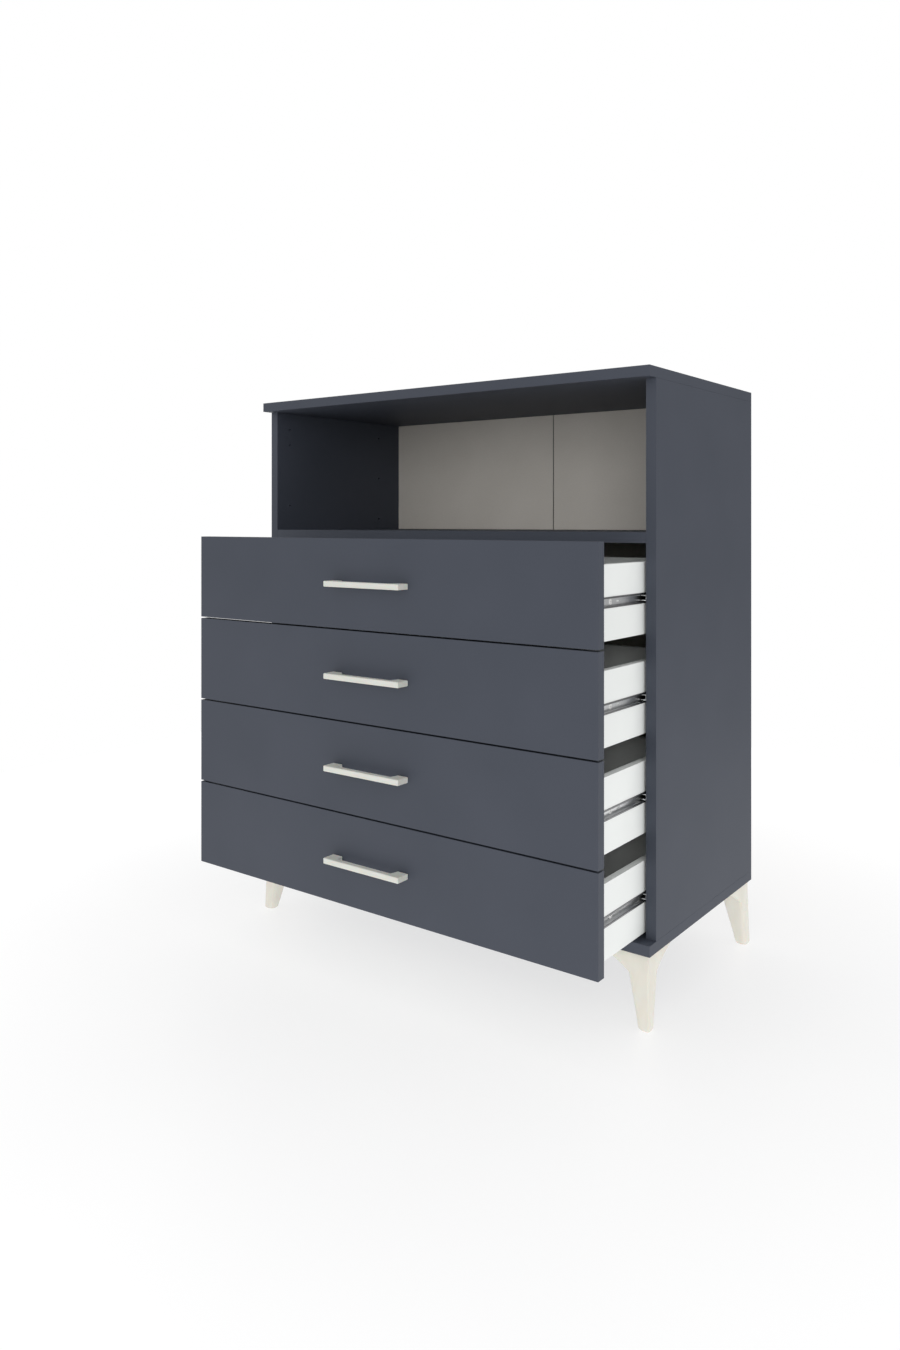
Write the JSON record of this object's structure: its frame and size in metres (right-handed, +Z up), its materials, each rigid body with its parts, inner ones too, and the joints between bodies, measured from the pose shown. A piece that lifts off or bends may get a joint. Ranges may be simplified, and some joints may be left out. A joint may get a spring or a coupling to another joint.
{
  "type": "chest of drawers",
  "caption": "Chest of drawers with an open niche under its top board, bar handles, ball bearing slides and splayed corner legs, shown with its drawers drawn part way out.",
  "frame": {"origin": "on the floor under the middle of the outer box, drawers drawn out 172 mm as stored", "axes": "+Z up, front towards -Y, +X to the right seen from the front"},
  "size_m": [0.9, 0.6448, 1.0772],
  "materials": {
    "board": "matt anthracite melamine on chipboard, same on the edge banding",
    "back": "thin hardboard, warm grey lacquer on its front",
    "strip": "dark extruded plastic",
    "cream": "cream moulded plastic, satin",
    "box": "white melamine on chipboard",
    "zinc": "zinc plated rolled steel",
    "cage": "black moulded plastic"
  },
  "bodies": {
    "carcass": {"bottom_board": "board", "top_board": "board", "niche_shelf": "board", "side_panel_left": "board", "side_panel_right": "board", "back_panel_left": "back", "back_panel_right": "back", "back_joint_strip": "strip", "leg_front_left": "cream", "leg_front_right": "cream", "leg_rear_left": "cream", "leg_rear_right": "cream", "cabinet_rail_1_left": "zinc", "cabinet_rail_1_right": "zinc", "cabinet_rail_2_left": "zinc", "cabinet_rail_2_right": "zinc", "cabinet_rail_3_left": "zinc", "cabinet_rail_3_right": "zinc", "cabinet_rail_4_left": "zinc", "cabinet_rail_4_right": "zinc"},
    "drawer_1": {"drawer_1_front": "board", "drawer_1_handle": "cream", "drawer_1_back": "box", "drawer_1_bottom": "box", "drawer_1_side_left": "box", "drawer_1_side_right": "box", "drawer_1_rail_left": "zinc", "drawer_1_rail_right": "zinc"},
    "ball_cages_1": {"ball_cage_1_left": "cage", "ball_cage_1_right": "cage"},
    "drawer_2": {"drawer_2_front": "board", "drawer_2_handle": "cream", "drawer_2_back": "box", "drawer_2_bottom": "box", "drawer_2_side_left": "box", "drawer_2_side_right": "box", "drawer_2_rail_left": "zinc", "drawer_2_rail_right": "zinc"},
    "ball_cages_2": {"ball_cage_2_left": "cage", "ball_cage_2_right": "cage"},
    "drawer_3": {"drawer_3_front": "board", "drawer_3_handle": "cream", "drawer_3_back": "box", "drawer_3_bottom": "box", "drawer_3_side_left": "box", "drawer_3_side_right": "box", "drawer_3_rail_left": "zinc", "drawer_3_rail_right": "zinc"},
    "ball_cages_3": {"ball_cage_3_left": "cage", "ball_cage_3_right": "cage"},
    "drawer_4": {"drawer_4_front": "board", "drawer_4_handle": "cream", "drawer_4_back": "box", "drawer_4_bottom": "box", "drawer_4_side_left": "box", "drawer_4_side_right": "box", "drawer_4_rail_left": "zinc", "drawer_4_rail_right": "zinc"},
    "ball_cages_4": {"ball_cage_4_left": "cage", "ball_cage_4_right": "cage"}
  },
  "joints": [
    {"name": "drawer_1_slide", "type": "slide", "parent": "carcass", "child": "drawer_1", "axis": [0, -1, 0], "range_m": [-0.172, 0.078]},
    {"name": "ball_cages_1_slide", "type": "slide", "parent": "carcass", "child": "ball_cages_1", "axis": [0, -1, 0], "range_m": [-0.086, 0.039]},
    {"name": "drawer_2_slide", "type": "slide", "parent": "carcass", "child": "drawer_2", "axis": [0, -1, 0], "range_m": [-0.172, 0.078]},
    {"name": "ball_cages_2_slide", "type": "slide", "parent": "carcass", "child": "ball_cages_2", "axis": [0, -1, 0], "range_m": [-0.086, 0.039]},
    {"name": "drawer_3_slide", "type": "slide", "parent": "carcass", "child": "drawer_3", "axis": [0, -1, 0], "range_m": [-0.172, 0.078]},
    {"name": "ball_cages_3_slide", "type": "slide", "parent": "carcass", "child": "ball_cages_3", "axis": [0, -1, 0], "range_m": [-0.086, 0.039]},
    {"name": "drawer_4_slide", "type": "slide", "parent": "carcass", "child": "drawer_4", "axis": [0, -1, 0], "range_m": [-0.172, 0.078]},
    {"name": "ball_cages_4_slide", "type": "slide", "parent": "carcass", "child": "ball_cages_4", "axis": [0, -1, 0], "range_m": [-0.086, 0.039]}
  ],
  "couplings": [
    {"joint": "ball_cages_1_slide", "follows": "drawer_1_slide", "ratio": 0.5},
    {"joint": "ball_cages_2_slide", "follows": "drawer_2_slide", "ratio": 0.5},
    {"joint": "ball_cages_3_slide", "follows": "drawer_3_slide", "ratio": 0.5},
    {"joint": "ball_cages_4_slide", "follows": "drawer_4_slide", "ratio": 0.5}
  ]
}
